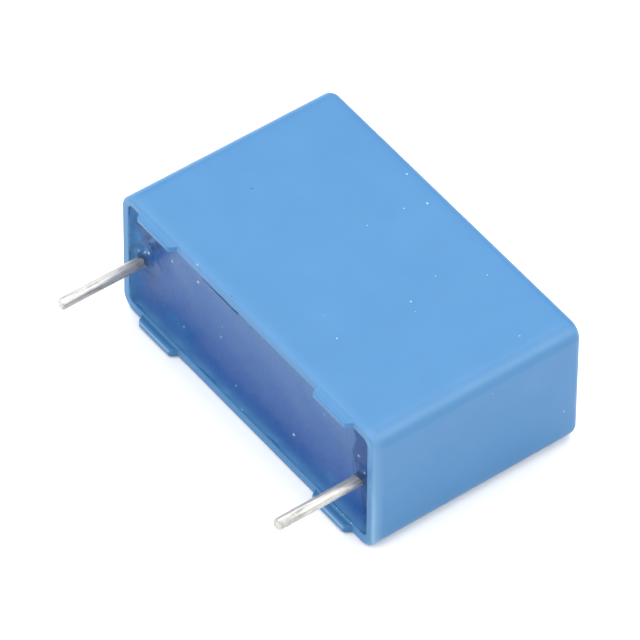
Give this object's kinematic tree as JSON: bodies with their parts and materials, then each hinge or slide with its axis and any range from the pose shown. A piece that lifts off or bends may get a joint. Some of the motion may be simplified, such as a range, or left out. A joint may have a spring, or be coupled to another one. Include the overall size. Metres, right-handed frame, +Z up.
{
  "type": "box film capacitor",
  "caption": "Film capacitor in a resin-filled rectangular plastic case with rounded edges, stand-off feet on the rim and straight wire leads.",
  "frame": {"origin": "midway between the two leads, on the seating plane that the tips of the four feet share", "axes": "+X along the row of leads, +Y from the seating plane into the body so that the leads point to -Y, +Z up through the thickness, as the part lies on a large face"},
  "size_m": [0.026, 0.022, 0.01],
  "materials": {
    "case_plastic": "moulded, semi-matte light blue",
    "potting_resin": "cast, blue-tinted, with a soft gloss",
    "metallised_film": "wound metallised film, satin",
    "sprayed_metal": "sprayed zinc, rough and dull",
    "tinned_wire": "tinned, bright satin"
  },
  "bodies": {
    "root": {"case": "case_plastic", "epoxy_fill": "potting_resin", "film_winding": "metallised_film", "end_spray_left": "sprayed_metal", "end_spray_right": "sprayed_metal", "lead_left": "tinned_wire", "lead_right": "tinned_wire"}
  },
  "joints": []
}
